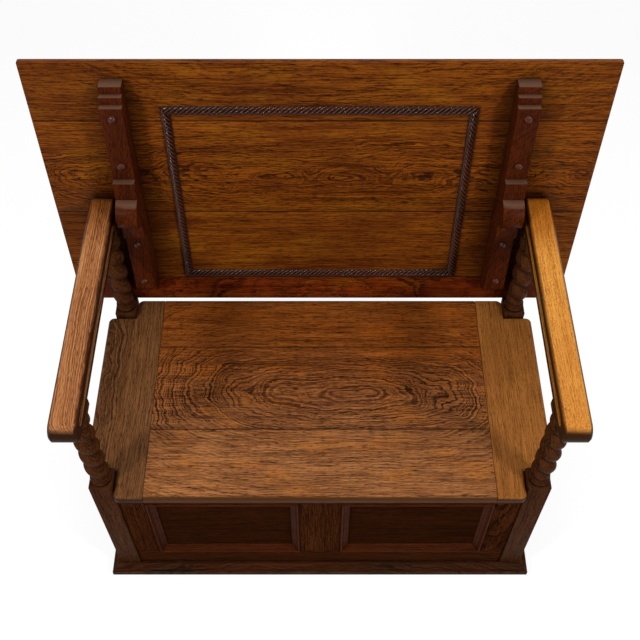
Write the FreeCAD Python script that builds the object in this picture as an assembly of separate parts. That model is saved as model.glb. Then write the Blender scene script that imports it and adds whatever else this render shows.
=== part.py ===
import FreeCAD, Part
import math
import os

from FreeCAD import Vector

# Oak settle bench whose back tips forward to make a table.
# Millimetres. X runs along the bench, +Y points to the back, +Z is up.
# While the pieces are made, Y is counted from the front face of the front posts.
# They are written out moved in Y, so that the origin is the middle of the footprint.

os.makedirs("parts", exist_ok=True)

# Posts
post_size = 45.5
post_outer_x = 453.0
post_inner_x = post_outer_x - post_size
post_mid_x = post_outer_x - post_size / 2
rear_post_front_y = 422.5
rear_post_back_y = rear_post_front_y + post_size
post_block_top_z = 413.0
post_bevel = 1.5
twist_bottom_z = 429.0
twist_top_z = 653.0
twist_pitch = 48.0
twist_crest_radius = 22.4
twist_hollow_radius = 13.0
twist_end_radius = 16.5
twist_fade = 14.0
twist_corners = 10
twist_rows_per_turn = 7
turned_flats = 16
upper_block_z = 659.0

# Arms
arm_top_z = 722.0
arm_thickness = 46.0
arm_width = 49.0
arm_front_y = -51.0
arm_edge_bevel = 4.0
groove_depth = 13.0
groove_stop = 36.0
tenon_size = 16.0
tenon_length = 22.0

# Tipping top
board_width = 1067.0
board_length = 615.0
board_thickness = 20.0
board_ovolo = 11.0
board_lean = 4.88
board_foot_y = 468.6
board_foot_z = 410.0
plank_joints = [0.0, 69.0, 262.5, 489.5, board_length]
bearer_mid_x = 372.0
bearer_width = 41.0
bearer_depth = 48.0
bearer_half_length = 264.0
bearer_mid_s = 318.0
bearer_block_half = 71.0
bearer_block_depth = 62.0
bearer_boss_radius = 31.0
peg_offsets = [-212.0, -103.0, 103.0, 212.0]
peg_radius = 5.0
peg_head_radius = 8.5
peg_in_plank = 12.0
pivot_depth = 23.3
pin_radius = 7.5
pin_clearance = 0.05
pin_end_gap = 1.0
rope_width = 18.0
rope_frame_width = 586.0
rope_frame_height = 449.0
rope_frame_bottom_s = 73.5

# Chest
chest_top_z = 377.0
frame_recess = 4.0
frame_thickness = 22.0
bottom_rail_z = 20.0
bottom_rail_top_z = 90.0
top_rail_z = 333.0
front_stile_width = 52.5
side_stile_width = 45.0
muntin_width = 88.0
panel_thickness = 9.0
panel_groove = 6.0
panel_setback = 10.0
rail_tenon_length = 18.0
rail_tenon_thickness = 8.0
rail_tenon_shoulder = 8.0
moulding_width = 18.0
floor_thickness = 12.0
floor_cleat_bottom_z = 27.0
floor_cleat_top_z = 45.0
floor_cleat_width = 18.0
back_panel_setback = 6.0

# Plinth
plinth_bottom_z = 5.0
plinth_height = 29.0
plinth_projection = 19.0

# Seat
seat_thickness = 22.0
seat_top_z = chest_top_z + seat_thickness
seat_front_y = -15.4
seat_back_y = rear_post_back_y
seat_ear_x = 468.0
seat_corner_radius = 12.0
seat_nosing_radius = 9.0
seat_under_bevel = 3.0
seat_ear_bevel = 3.5
lid_half_width = 347.6
lid_gap = 0.7
post_gap = 0.5
batten_width = 45.0
batten_thickness = 18.0
batten_mid_x = 245.0
batten_front_y = 60.0
batten_back_y = 405.0
batten_end_radius = 6.0

# Hinges of the lid
hinge_mid_x = 225.0
hinge_length = 66.0
hinge_leaf_width = 22.0
hinge_leaf_thickness = 1.5
knuckle_radius = 3.2
knuckle_gap = 0.3
hinge_pin_radius = 1.6
hinge_pin_clearance = 0.05
hinge_y = seat_back_y + knuckle_radius + knuckle_gap
hinge_z = chest_top_z

# The arm's centre height carries the pivot, and the board's lean sets how far back it is.
lean = math.radians(board_lean)
pivot_z = arm_top_z - arm_thickness / 2
pivot_rise = (pivot_z - board_foot_z) * math.sin(lean)
pivot_y = board_foot_y + (pivot_rise - pivot_depth) / math.cos(lean)
arm_inner_x = post_inner_x
arm_outer_x = arm_inner_x + arm_width

# The furthest point back is on the rounded upper rim of the leaning board.
board_back_y = (board_foot_y + (board_length - board_ovolo) * math.sin(lean)
                + (board_thickness - board_ovolo) * math.cos(lean) + board_ovolo)
middle_y = (arm_front_y + board_back_y) / 2
to_origin = Vector(0, -middle_y, 0)


def save(name, pieces):
    """Write one node, moved so that the middle of the footprint is the origin."""
    solids = []
    for piece in pieces:
        solids.extend(piece.Solids)
    for solid in solids:
        if not solid.isValid():
            raise ValueError(name + " has a solid that is not valid")
    node = solids[0] if len(solids) == 1 else Part.makeCompound(solids)
    node = node.translated(to_origin)
    node.exportStep("parts/" + name + ".step")
    print(name, len(solids), round(node.Volume))


def mirrored(piece):
    return piece.mirror(Vector(0, 0, 0), Vector(1, 0, 0))


def save_pair(name, pieces):
    """The pieces are made on the right, and the left ones are their mirror image."""
    save(name + "_right", pieces)
    save(name + "_left", [mirrored(piece) for piece in pieces])


def block(low_x, high_x, low_y, high_y, low_z, high_z):
    size = (high_x - low_x, high_y - low_y, high_z - low_z)
    return Part.makeBox(size[0], size[1], size[2], Vector(low_x, low_y, low_z))


def closed_face(edges):
    return Part.Face(Part.Wire(Part.__sortEdges__(edges)))


def line(start, end):
    return Part.LineSegment(start, end).toShape()


def arc(start, middle, end):
    return Part.Arc(start, middle, end).toShape()


def polygon_face(points):
    return Part.Face(Part.makePolygon(points + [points[0]]))


def rounded(piece, radius, chosen):
    """Round the edges that the function chosen accepts."""
    edges = [edge for edge in piece.Edges if chosen(edge)]
    return piece.makeFillet(radius, edges)


def bevelled(piece, width, chosen):
    """Bevel the edges that the function chosen accepts."""
    edges = [edge for edge in piece.Edges if chosen(edge)]
    return piece.makeChamfer(width, edges)


def edge_middle(edge):
    return edge.valueAt((edge.FirstParameter + edge.LastParameter) / 2)


def faceted(rings):
    """A solid with flat facets through rings of corners, each ring above the last."""
    corners = len(rings[0])
    faces = [polygon_face(rings[0]), polygon_face(rings[-1])]
    for low, high in zip(rings, rings[1:]):
        for corner in range(corners):
            after = (corner + 1) % corners
            faces.append(polygon_face([low[corner], low[after], high[after]]))
            faces.append(polygon_face([low[corner], high[after], high[corner]]))
    return Part.Solid(Part.Shell(faces))


def turned(points):
    """A turning about the post's own axis with narrow flats, from points of radius and height."""
    rings = []
    for radius, height in points:
        turns = [2 * math.pi * flat / turned_flats for flat in range(turned_flats)]
        rings.append([Vector(radius * math.cos(turn), radius * math.sin(turn), height) for turn in turns])
    return faceted(rings)


# Posts with a single-start barley twist


def twist_ring(height, crest_height):
    """The corners of the section at one height. The crest points to +X at crest_height."""
    turn = -2 * math.pi * (height - crest_height) / twist_pitch
    to_end = min(height - twist_bottom_z, twist_top_z - height)
    fade = math.sin(math.pi / 2 * min(1.0, to_end / twist_fade))
    points = []
    for corner in range(twist_corners):
        angle = 2 * math.pi * corner / twist_corners
        fullness = ((1 + math.cos(angle)) / 2) ** 0.42
        full = twist_hollow_radius + (twist_crest_radius - twist_hollow_radius) * fullness
        radius = twist_end_radius + (full - twist_end_radius) * fade
        points.append(Vector(radius * math.cos(angle + turn), radius * math.sin(angle + turn), height))
    return points


def barley_twist(crest_height):
    """One strand winding left-handed up the post, as fine flat facets that follow the strand."""
    length = twist_top_z - twist_bottom_z
    rows = round(length / twist_pitch * twist_rows_per_turn)
    rings = [twist_ring(twist_bottom_z + length * row / rows, crest_height) for row in range(rows + 1)]
    return faceted(rings)


def square_block(low_z, high_z):
    """A square stretch of the post with its two ends bevelled round the rim."""
    half = post_size / 2
    piece = block(-half, half, -half, half, low_z, high_z)
    return bevelled(piece, post_bevel, lambda edge: edge.BoundBox.ZLength < 0.01)


def post_blank(crest_height):
    """A post standing on the origin, square in the chest and turned above it."""
    rings = turned([
        (17, post_block_top_z - 1), (17, 417), (21.5, 421), (17.5, 425.5), (20, 428.5), (twist_end_radius, 432),
    ])
    collar = turned([
        (twist_end_radius + 1, twist_top_z - 2), (20.5, upper_block_z - 3.5), (19, upper_block_z + 1),
    ])
    under_z = arm_top_z - arm_thickness
    side = tenon_size / 2
    tenon = block(-side, side, -side, side, under_z - 1, under_z + tenon_length)
    lower = square_block(0, post_block_top_z)
    upper = square_block(upper_block_z, under_z)
    return lower.fuse([rings, barley_twist(crest_height), collar, upper, tenon])


# Where the rails of the three frames lie, seen from above, on the right half
front_frame_y = frame_recess
front_frame_back_y = front_frame_y + frame_thickness
front_frame_mid_y = front_frame_y + frame_thickness / 2
side_frame_x = post_outer_x - frame_recess
side_frame_inner_x = side_frame_x - frame_thickness
side_frame_mid_x = side_frame_x - frame_thickness / 2
back_frame_y = rear_post_back_y - frame_thickness
back_frame_mid_y = rear_post_back_y - frame_thickness / 2
rail_heights = [(bottom_rail_z, bottom_rail_top_z), (top_rail_z, chest_top_z)]


def x_tenons(middle_y):
    """Tenons of the two rails that run along X, on the right end."""
    low = post_inner_x
    high = post_inner_x + rail_tenon_length
    half = rail_tenon_thickness / 2
    return [block(low, high, middle_y - half, middle_y + half, bottom + rail_tenon_shoulder,
                  top - rail_tenon_shoulder) for bottom, top in rail_heights]


def y_tenons(low_y, high_y):
    """Tenons of the two side rails in one post on the right."""
    half = rail_tenon_thickness / 2
    return [block(side_frame_mid_x - half, side_frame_mid_x + half, low_y, high_y,
                  bottom + rail_tenon_shoulder, top - rail_tenon_shoulder) for bottom, top in rail_heights]


front_x_tenons = x_tenons(front_frame_mid_y)
back_x_tenons = x_tenons(back_frame_mid_y)
front_y_tenons = y_tenons(post_size - rail_tenon_length, post_size)
rear_y_tenons = y_tenons(rear_post_front_y, rear_post_front_y + rail_tenon_length)


def make_posts():
    """All four twist the same way, each starting at its own height."""
    left_front_x = [mirrored(tenon) for tenon in front_x_tenons]
    left_front_y = [mirrored(tenon) for tenon in front_y_tenons]
    left_back_x = [mirrored(tenon) for tenon in back_x_tenons]
    left_rear_y = [mirrored(tenon) for tenon in rear_y_tenons]
    front_y = post_size / 2
    rear_y = rear_post_front_y + post_size / 2
    plan = [
        ("front_post_right", post_mid_x, front_y, 471.0, front_x_tenons + front_y_tenons),
        ("front_post_left", -post_mid_x, front_y, 498.5, left_front_x + left_front_y),
        ("rear_post_right", post_mid_x, rear_y, 462.0, back_x_tenons + rear_y_tenons),
        ("rear_post_left", -post_mid_x, rear_y, 486.0, left_back_x + left_rear_y),
    ]
    for name, mid_x, mid_y, crest_height, tenons in plan:
        post = post_blank(crest_height).translated(Vector(mid_x, mid_y, 0))
        save(name, [post.cut(tenons)])


# Arms with a stopped groove for the pivot pins

def stadium(low_y, high_y, mid_z, radius, low_x, high_x):
    """A bar with round ends, seen from the side, between two values of X."""
    top_front = Vector(low_x, low_y, mid_z + radius)
    top_back = Vector(low_x, high_y, mid_z + radius)
    low_front = Vector(low_x, low_y, mid_z - radius)
    low_back = Vector(low_x, high_y, mid_z - radius)
    front_end = arc(low_front, Vector(low_x, low_y - radius, mid_z), top_front)
    back_end = arc(top_back, Vector(low_x, high_y + radius, mid_z), low_back)
    face = closed_face([front_end, line(top_front, top_back), back_end, line(low_back, low_front)])
    return face.extrude(Vector(high_x - low_x, 0, 0))


def make_arms():
    half = arm_thickness / 2
    arm = stadium(arm_front_y + half, pivot_y, pivot_z, half, arm_inner_x, arm_outer_x)
    arm = bevelled(arm, arm_edge_bevel, lambda edge: edge.BoundBox.XLength < 0.01)
    groove_radius = pin_radius + pin_clearance
    groove = stadium(arm_front_y + groove_stop, pivot_y, pivot_z, groove_radius, arm_inner_x - 1, arm_inner_x + groove_depth)
    under_z = arm_top_z - arm_thickness
    mortises = []
    side = tenon_size / 2
    for mid_y in (post_size / 2, rear_post_front_y + post_size / 2):
        mortises.append(block(post_mid_x - side, post_mid_x + side, mid_y - side, mid_y + side,
                              under_z - 1, under_z + tenon_length))
    save_pair("arm", [arm.cut([groove] + mortises)])


# Frames and panels of the chest

def moulding_profile(width):
    """Three members seen from the end: a bead, a hollow and a quirk. Y is the depth, Z runs inwards."""
    depth = panel_setback
    outline = [
        (depth, 0), (-1.5, 0), (-3.6, 0.05), (-4.4, 0.15), (-3.6, 0.25), (-1.5, 0.3), (1.5, 0.32), (3.8, 0.42),
        (4.6, 0.56), (4.6, 0.72), (6.4, 0.75), (6.8, 0.88), (8.2, 0.97), (depth, 1.0),
    ]
    return polygon_face([Vector(0, out, inwards * width) for out, inwards in outline])


def half_round_profile(width):
    """The end of a half-round moulding that lies on Y = 0 and stands out towards -Y."""
    low = Vector(0, 0, 0)
    high = Vector(0, 0, width)
    return closed_face([arc(low, Vector(0, -width / 2, width / 2), high), line(high, low)])


def mitred_strip(length, profile, width):
    """One strip of a picture frame, lying along X with its outer edge on Z = 0."""
    bar = profile.translated(Vector(-length / 2, 0, 0)).extrude(Vector(length, 0, 0))
    depth = 40
    corners = [Vector(-length / 2, -depth, 0), Vector(length / 2, -depth, 0),
               Vector(length / 2 - width, -depth, width), Vector(-length / 2 + width, -depth, width)]
    return bar.common(polygon_face(corners).extrude(Vector(0, 2 * depth, 0)))


def mitred_frame(width, height, profile, strip_width):
    """Bottom, right, top and left strips round the origin, in the XZ plane."""
    strips = []
    for side in range(4):
        length = width if side % 2 == 0 else height
        reach = height / 2 if side % 2 == 0 else width / 2
        strip = mitred_strip(length, profile, strip_width).translated(Vector(0, 0, -reach))
        strips.append(strip.rotated(Vector(0, 0, 0), Vector(0, 1, 0), -90 * side))
    return strips


def to_right_side(piece, mid_y):
    """Turn a piece that faces -Y so that it faces +X on the right side of the chest."""
    turned_piece = piece.rotated(Vector(0, 0, 0), Vector(0, 0, 1), 90)
    return turned_piece.translated(Vector(side_frame_x, mid_y, 0))


panel_low_z = bottom_rail_top_z - panel_groove
panel_high_z = top_rail_z + panel_groove
opening_mid_z = (bottom_rail_top_z + top_rail_z) / 2
opening_height = top_rail_z - bottom_rail_top_z


def make_front():
    face = front_frame_y
    back = front_frame_back_y
    stile_x = post_inner_x - front_stile_width
    half_muntin = muntin_width / 2
    panel = block(half_muntin - panel_groove, stile_x + panel_groove, face + panel_setback,
                  face + panel_setback + panel_thickness, panel_low_z, panel_high_z)
    panels = [panel, mirrored(panel)]
    tenons = front_x_tenons + [mirrored(tenon) for tenon in front_x_tenons]
    for name, number in (("front_bottom_rail", 0), ("front_top_rail", 1)):
        low, high = rail_heights[number]
        rail = block(-post_inner_x, post_inner_x, face, back, low, high)
        rail = rail.fuse([tenons[number], tenons[number + 2]])
        save(name, [rail.cut(panels)])
    stile = block(stile_x, post_inner_x, face, back, bottom_rail_top_z, top_rail_z)
    save_pair("front_stile", [stile.cut(panel)])
    muntin = block(-half_muntin, half_muntin, face, back, bottom_rail_top_z, top_rail_z)
    save("front_muntin", [muntin.cut(panels)])
    save_pair("front_panel", [panel])
    width = stile_x - half_muntin
    strips = mitred_frame(width, opening_height, moulding_profile(moulding_width), moulding_width)
    centre = Vector(half_muntin + width / 2, face, opening_mid_z)
    save_pair("front_panel_moulding", [strip.translated(centre) for strip in strips])


def make_sides():
    mid_y = (post_size + rear_post_front_y) / 2
    half_length = (rear_post_front_y - post_size) / 2
    half_opening = half_length - side_stile_width
    panel = block(-half_opening - panel_groove, half_opening + panel_groove, panel_setback,
                  panel_setback + panel_thickness, panel_low_z, panel_high_z)
    panel = to_right_side(panel, mid_y)
    for name, number in (("side_bottom_rail", 0), ("side_top_rail", 1)):
        low, high = rail_heights[number]
        rail = block(side_frame_inner_x, side_frame_x, post_size, rear_post_front_y, low, high)
        rail = rail.fuse([front_y_tenons[number], rear_y_tenons[number]])
        save_pair(name, [rail.cut(panel)])
    stiles = []
    for low_y in (post_size, rear_post_front_y - side_stile_width):
        stile = block(side_frame_inner_x, side_frame_x, low_y, low_y + side_stile_width,
                      bottom_rail_top_z, top_rail_z)
        stiles.append(stile.cut(panel))
    save_pair("side_stiles", stiles)
    save_pair("side_panel", [panel])
    strips = mitred_frame(2 * half_opening, opening_height, moulding_profile(moulding_width), moulding_width)
    raised = [strip.translated(Vector(0, 0, opening_mid_z)) for strip in strips]
    save_pair("side_panel_moulding", [to_right_side(strip, mid_y) for strip in raised])


def leaf_recess(low_z, high_z):
    """The two shallow housings for the hinge leaves, between two heights."""
    half = hinge_length / 2
    recesses = []
    for mid_x in (-hinge_mid_x, hinge_mid_x):
        recesses.append(block(mid_x - half, mid_x + half, hinge_y - hinge_leaf_width, hinge_y + 5, low_z, high_z))
    return recesses


def make_back():
    """The back is plain: two flat panels in a frame, with no moulding."""
    front = back_frame_y
    back = rear_post_back_y
    half_muntin = muntin_width / 2
    panel_y = front + back_panel_setback
    panel = block(half_muntin - panel_groove, post_inner_x, panel_y, panel_y + panel_thickness,
                  panel_low_z, panel_high_z)
    panels = [panel, mirrored(panel)]
    tenons = back_x_tenons + [mirrored(tenon) for tenon in back_x_tenons]
    for name, number in (("back_bottom_rail", 0), ("back_top_rail", 1)):
        low, high = rail_heights[number]
        rail = block(-post_inner_x, post_inner_x, front, back, low, high)
        rail = rail.fuse([tenons[number], tenons[number + 2]]).cut(panels)
        if number == 1:
            rail = rail.cut(leaf_recess(hinge_z - hinge_leaf_thickness, hinge_z + 1))
        save(name, [rail])
    muntin = block(-half_muntin, half_muntin, front, back, bottom_rail_top_z, top_rail_z)
    save("back_muntin", [muntin.cut(panels)])
    save_pair("back_panel", [panel])


def make_floor():
    inner_x = side_frame_inner_x - 0.5
    low_y = front_frame_back_y + 0.5
    high_y = back_frame_y - 0.5
    floor = block(-inner_x, inner_x, low_y, high_y, floor_cleat_top_z, floor_cleat_top_z + floor_thickness)
    corner_x = post_inner_x - post_gap
    for low_x, high_x in ((-inner_x - 1, -corner_x), (corner_x, inner_x + 1)):
        floor = floor.cut(block(low_x, high_x, 0, post_size + post_gap, 0, 100))
        floor = floor.cut(block(low_x, high_x, rear_post_front_y - post_gap, 500, 0, 100))
    save("chest_floor", [floor])
    reach = post_inner_x - 5
    for name, cleat_y in (("front", front_frame_back_y), ("back", back_frame_y - floor_cleat_width)):
        save("floor_cleat_" + name, [block(-reach, reach, cleat_y, cleat_y + floor_cleat_width,
                                           floor_cleat_bottom_z, floor_cleat_top_z)])


# Plinth, mitred at the front corners

def plinth_profile():
    """Seen from the side: a flat foot, a step, and an ogee that dies into the posts."""
    low = plinth_bottom_z
    high = plinth_bottom_z + plinth_height
    out = plinth_projection
    edges = [
        line(Vector(0, 0, low), Vector(0, -out, low)),
        line(Vector(0, -out, low), Vector(0, -out, low + 13)),
        arc(Vector(0, -out, low + 13), Vector(0, -out + 0.9, low + 15.4), Vector(0, -out + 3, low + 16.5)),
        arc(Vector(0, -out + 3, low + 16.5), Vector(0, -out + 8.4, low + 18.6), Vector(0, -out + 11, low + 23.5)),
        arc(Vector(0, -out + 11, low + 23.5), Vector(0, -out + 12.6, low + 27), Vector(0, -out + 15.5, high)),
        line(Vector(0, -out + 15.5, high), Vector(0, 0, high)),
        line(Vector(0, 0, high), Vector(0, 0, low)),
    ]
    return closed_face(edges)


def make_plinth():
    out = plinth_projection
    reach = post_outer_x + out
    profile = plinth_profile()
    front = profile.translated(Vector(-reach, 0, 0)).extrude(Vector(2 * reach, 0, 0))
    mitre = [Vector(-reach, -out, 0), Vector(reach, -out, 0), Vector(post_outer_x, 0, 0), Vector(-post_outer_x, 0, 0)]
    front = front.common(polygon_face(mitre).extrude(Vector(0, 0, 100)))
    backing_top = plinth_bottom_z + plinth_height - 3
    front = front.fuse(block(-post_inner_x, post_inner_x, 0, frame_recess, plinth_bottom_z, backing_top))
    save("plinth_front", [front.removeSplitter()])
    back_y = rear_post_back_y
    side = profile.rotated(Vector(0, 0, 0), Vector(0, 0, 1), 90).translated(Vector(post_outer_x, -out, 0))
    side = side.extrude(Vector(0, back_y + out, 0))
    mitre = [Vector(post_outer_x, 0, 0), Vector(reach, -out, 0), Vector(reach, back_y, 0), Vector(post_outer_x, back_y, 0)]
    side = side.common(polygon_face(mitre).extrude(Vector(0, 0, 100)))
    side = side.fuse(block(side_frame_x, post_outer_x, post_size, rear_post_front_y, plinth_bottom_z, backing_top))
    save_pair("plinth_side", [side.removeSplitter()])


# Seat: two fixed ends notched round the posts, and the lid between them

def seat_end():
    inner = lid_half_width + lid_gap
    neck = post_inner_x - post_gap
    ear = seat_ear_x
    front = seat_front_y
    back = seat_back_y
    notch_front = post_size + post_gap
    notch_back = rear_post_front_y - post_gap
    radius = seat_corner_radius
    bite = radius * (1 - math.sqrt(0.5))
    z = chest_top_z

    def at(x, y):
        return Vector(x, y, z)

    edges = [
        line(at(inner, front), at(neck - radius, front)),
        arc(at(neck - radius, front), at(neck - bite, front + bite), at(neck, front + radius)),
        line(at(neck, front + radius), at(neck, notch_front)),
        line(at(neck, notch_front), at(ear - radius, notch_front)),
        arc(at(ear - radius, notch_front), at(ear - bite, notch_front + bite), at(ear, notch_front + radius)),
        line(at(ear, notch_front + radius), at(ear, notch_back - radius)),
        arc(at(ear, notch_back - radius), at(ear - bite, notch_back - bite), at(ear - radius, notch_back)),
        line(at(ear - radius, notch_back), at(neck, notch_back)),
        line(at(neck, notch_back), at(neck, back - radius)),
        arc(at(neck, back - radius), at(neck - bite, back - bite), at(neck - radius, back)),
        line(at(neck - radius, back), at(inner, back)),
        line(at(inner, back), at(inner, front)),
    ]
    board = closed_face(edges).extrude(Vector(0, 0, seat_thickness))

    def at_front(edge):
        middle = edge_middle(edge)
        return middle.y < front + radius and middle.x > inner + 0.1

    def at_ear(edge):
        return edge_middle(edge).x > ear - radius

    def flat_at(edge, height):
        return edge.BoundBox.ZMax < height + 0.1 and edge.BoundBox.ZMin > height - 0.1

    board = rounded(board, seat_nosing_radius, lambda edge: at_front(edge) and flat_at(edge, seat_top_z))
    board = bevelled(board, seat_ear_bevel, lambda edge: at_ear(edge) and flat_at(edge, seat_top_z))
    return bevelled(board, seat_under_bevel, lambda edge: at_front(edge) and flat_at(edge, chest_top_z))


def make_seat():
    save_pair("seat_end", [seat_end()])
    half = lid_half_width
    lid = block(-half, half, seat_front_y, seat_back_y, chest_top_z, seat_top_z)
    lid = rounded(lid, seat_nosing_radius, lambda edge: edge.BoundBox.YMax < seat_front_y + 0.1
                  and edge.BoundBox.ZMin > seat_top_z - 0.1)
    lid = bevelled(lid, seat_under_bevel, lambda edge: edge.BoundBox.YMax < seat_front_y + 0.1
                   and edge.BoundBox.ZMax < chest_top_z + 0.1)
    save("seat_lid", [lid.cut(leaf_recess(hinge_z - 1, hinge_z + hinge_leaf_thickness))])
    battens = []
    for mid_x in (-batten_mid_x, batten_mid_x):
        batten = block(mid_x - batten_width / 2, mid_x + batten_width / 2, batten_front_y,
                       batten_back_y, chest_top_z - batten_thickness, chest_top_z)
        battens.append(rounded(batten, batten_end_radius, lambda edge: edge.BoundBox.ZMax < chest_top_z - 1
                               and edge.BoundBox.YLength < 0.01))
    save("lid_battens", battens)


# Butt hinges: three knuckles on the rail, two on the lid, and one pin through them

def many_sided_bar(radius, low_x, high_x, mid_y, mid_z):
    """A bar along X with twelve flats, for the small round parts of a hinge."""
    sides = 12
    corners = []
    for corner in range(sides):
        angle = 2 * math.pi * corner / sides
        corners.append(Vector(low_x, mid_y + radius * math.cos(angle), mid_z + radius * math.sin(angle)))
    return polygon_face(corners).extrude(Vector(high_x - low_x, 0, 0))


def hinge_leaf(mid_x, fixed):
    knuckles = 3
    pitch = hinge_length / knuckles
    low_x = mid_x - hinge_length / 2
    front_y = hinge_y - hinge_leaf_width
    if fixed:
        leaf = block(low_x, low_x + hinge_length, front_y, hinge_y, hinge_z - hinge_leaf_thickness, hinge_z - 0.05)
    else:
        leaf = block(low_x, low_x + hinge_length, front_y, hinge_y, hinge_z + 0.05, hinge_z + hinge_leaf_thickness)
    for number in range(knuckles):
        start = low_x + number * pitch
        gap = knuckle_gap / 2
        mine = (number % 2 == 0) == fixed
        if mine:
            knuckle = many_sided_bar(knuckle_radius, start + gap, start + pitch - gap, hinge_y, hinge_z)
            leaf = leaf.fuse(knuckle)
        else:
            reach = knuckle_radius + knuckle_gap
            leaf = leaf.cut(block(start - gap, start + pitch + gap, hinge_y - reach, hinge_y + reach,
                                  hinge_z - reach, hinge_z + reach))
    bore = hinge_pin_radius if fixed else hinge_pin_radius / math.cos(math.pi / 12) + hinge_pin_clearance
    return leaf.cut(many_sided_bar(bore, low_x - 1, low_x + hinge_length + 1, hinge_y, hinge_z))


def make_hinges():
    """The leaves lie in shallow housings in the rail and the lid."""
    middles = (-hinge_mid_x, hinge_mid_x)
    save("hinge_leaves_fixed", [hinge_leaf(mid_x, True) for mid_x in middles])
    save("hinge_leaves_lid", [hinge_leaf(mid_x, False) for mid_x in middles])
    reach = hinge_length / 2 + 0.5
    save("hinge_pins", [many_sided_bar(hinge_pin_radius, mid_x - reach, mid_x + reach, hinge_y, hinge_z)
                        for mid_x in middles])


# Tipping top, made upright with its lower front edge on the origin and then leaned back

def onto_bench(piece):
    leaned = piece.rotated(Vector(0, 0, 0), Vector(1, 0, 0), -board_lean)
    return leaned.translated(Vector(0, board_foot_y, board_foot_z))


def make_planks():
    half = board_width / 2
    board = block(-half, half, 0, board_thickness, 0, board_length)
    board = rounded(board, board_ovolo, lambda edge: edge.BoundBox.YMin > board_thickness - 0.01)
    v_cut = 1.0
    planks = []
    for number in range(4):
        low = plank_joints[number]
        high = plank_joints[number + 1]
        plank = board.common(block(-half, half, 0, board_thickness, low, high))
        for joint in plank_joints[1:4]:
            if joint in (low, high):
                corners = [Vector(-half, -0.01, joint - v_cut), Vector(-half, v_cut, joint), Vector(-half, -0.01, joint + v_cut)]
                plank = plank.cut(polygon_face(corners).extrude(Vector(board_width, 0, 0)))
        planks.append(plank)
    return planks


def bearer_profile():
    """Seen from the end of the bench: stepped ends, a block in the middle and a round boss on it."""
    middle = bearer_mid_s
    half = bearer_half_length
    thin = 25
    mid_step = 36
    step = 15
    depth = bearer_depth
    block_depth = bearer_block_depth
    block_half = bearer_block_half
    boss = bearer_boss_radius
    upper = [(0, half), (thin, half), (thin, half - step), (mid_step, half - step), (mid_step, half - 2 * step),
             (depth, half - 2 * step), (depth, block_half), (block_depth, block_half), (block_depth, boss)]
    lower = [(out, -along) for out, along in reversed(upper)]

    def at(out, along):
        return Vector(0, -out, middle + along)

    points = [at(out, along) for out, along in upper]
    low_points = [at(out, along) for out, along in lower]
    edges = [line(points[i], points[i + 1]) for i in range(len(points) - 1)]
    edges.append(arc(points[-1], at(block_depth + boss, 0), low_points[0]))
    edges.extend(line(low_points[i], low_points[i + 1]) for i in range(len(low_points) - 1))
    edges.append(line(low_points[-1], points[0]))
    return closed_face(edges)


def pared_peg(sides, steps, seat):
    """A peg pared to flat sides. Each step is a depth behind seat and a radius across the corners."""
    rings = []
    for depth, radius in steps:
        ring = []
        for corner in range(sides):
            angle = 2 * math.pi * (corner + 0.5) / sides
            ring.append(seat + Vector(radius * math.cos(angle), depth, radius * math.sin(angle)))
        rings.append(ring)
    return faceted(rings)


def make_top():
    planks = make_planks()
    low_x = bearer_mid_x - bearer_width / 2
    high_x = low_x + bearer_width
    bearer = bearer_profile().translated(Vector(low_x, 0, 0)).extrude(Vector(bearer_width, 0, 0))
    pegs = []
    shanks = []
    for offset in peg_offsets:
        seat = Vector(bearer_mid_x, -bearer_depth, bearer_mid_s + offset)
        shank = pared_peg(4, [(0, peg_radius), (bearer_depth + peg_in_plank, peg_radius)], seat)
        head = pared_peg(8, [(-6, 3), (-4, 6.6), (0, peg_head_radius)], seat)
        pegs.append(shank.fuse(head))
        shanks.append(shank)
    bearer = bearer.cut(shanks)
    pivot_s = (pivot_z - board_foot_z) * math.cos(lean) + (pivot_y - board_foot_y) * math.sin(lean)
    pivot = Vector(bearer_mid_x, -pivot_depth, pivot_s)
    pin_length = arm_inner_x + groove_depth - pin_end_gap - bearer_mid_x
    pin = Part.makeCylinder(pin_radius, pin_length, pivot, Vector(1, 0, 0))
    bearer = bearer.cut(pin)
    all_shanks = shanks + [mirrored(shank) for shank in shanks]
    names = ["top_plank_front", "top_plank_lower", "top_plank_upper", "top_plank_rim"]
    for name, plank in zip(names, planks):
        low = plank.BoundBox.ZMin
        high = plank.BoundBox.ZMax
        holes = [shank for shank in all_shanks if low < shank.BoundBox.Center.z < high]
        save(name, [onto_bench(plank.cut(holes) if holes else plank)])
    save_pair("bearer", [onto_bench(bearer)])
    all_pegs = pegs + [mirrored(peg) for peg in pegs]
    save("bearer_pegs", [onto_bench(peg) for peg in all_pegs])
    save("pivot_pins", [onto_bench(pin), onto_bench(mirrored(pin))])
    rope = mitred_frame(rope_frame_width, rope_frame_height, half_round_profile(rope_width), rope_width)
    rope_centre = Vector(0, 0, rope_frame_bottom_s + rope_frame_height / 2)
    for side, strip in zip(("bottom", "right", "top", "left"), rope):
        save("rope_moulding_" + side, [onto_bench(strip.translated(rope_centre))])


make_posts()
make_arms()
make_front()
make_sides()
make_back()
make_floor()
make_plinth()
make_seat()
make_hinges()
make_top()
print("middle_y", round(middle_y, 3), "pivot", round(pivot_y - middle_y, 3), pivot_z)
print("hinge", round(hinge_y - middle_y, 3), hinge_z)
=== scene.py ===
import math

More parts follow.
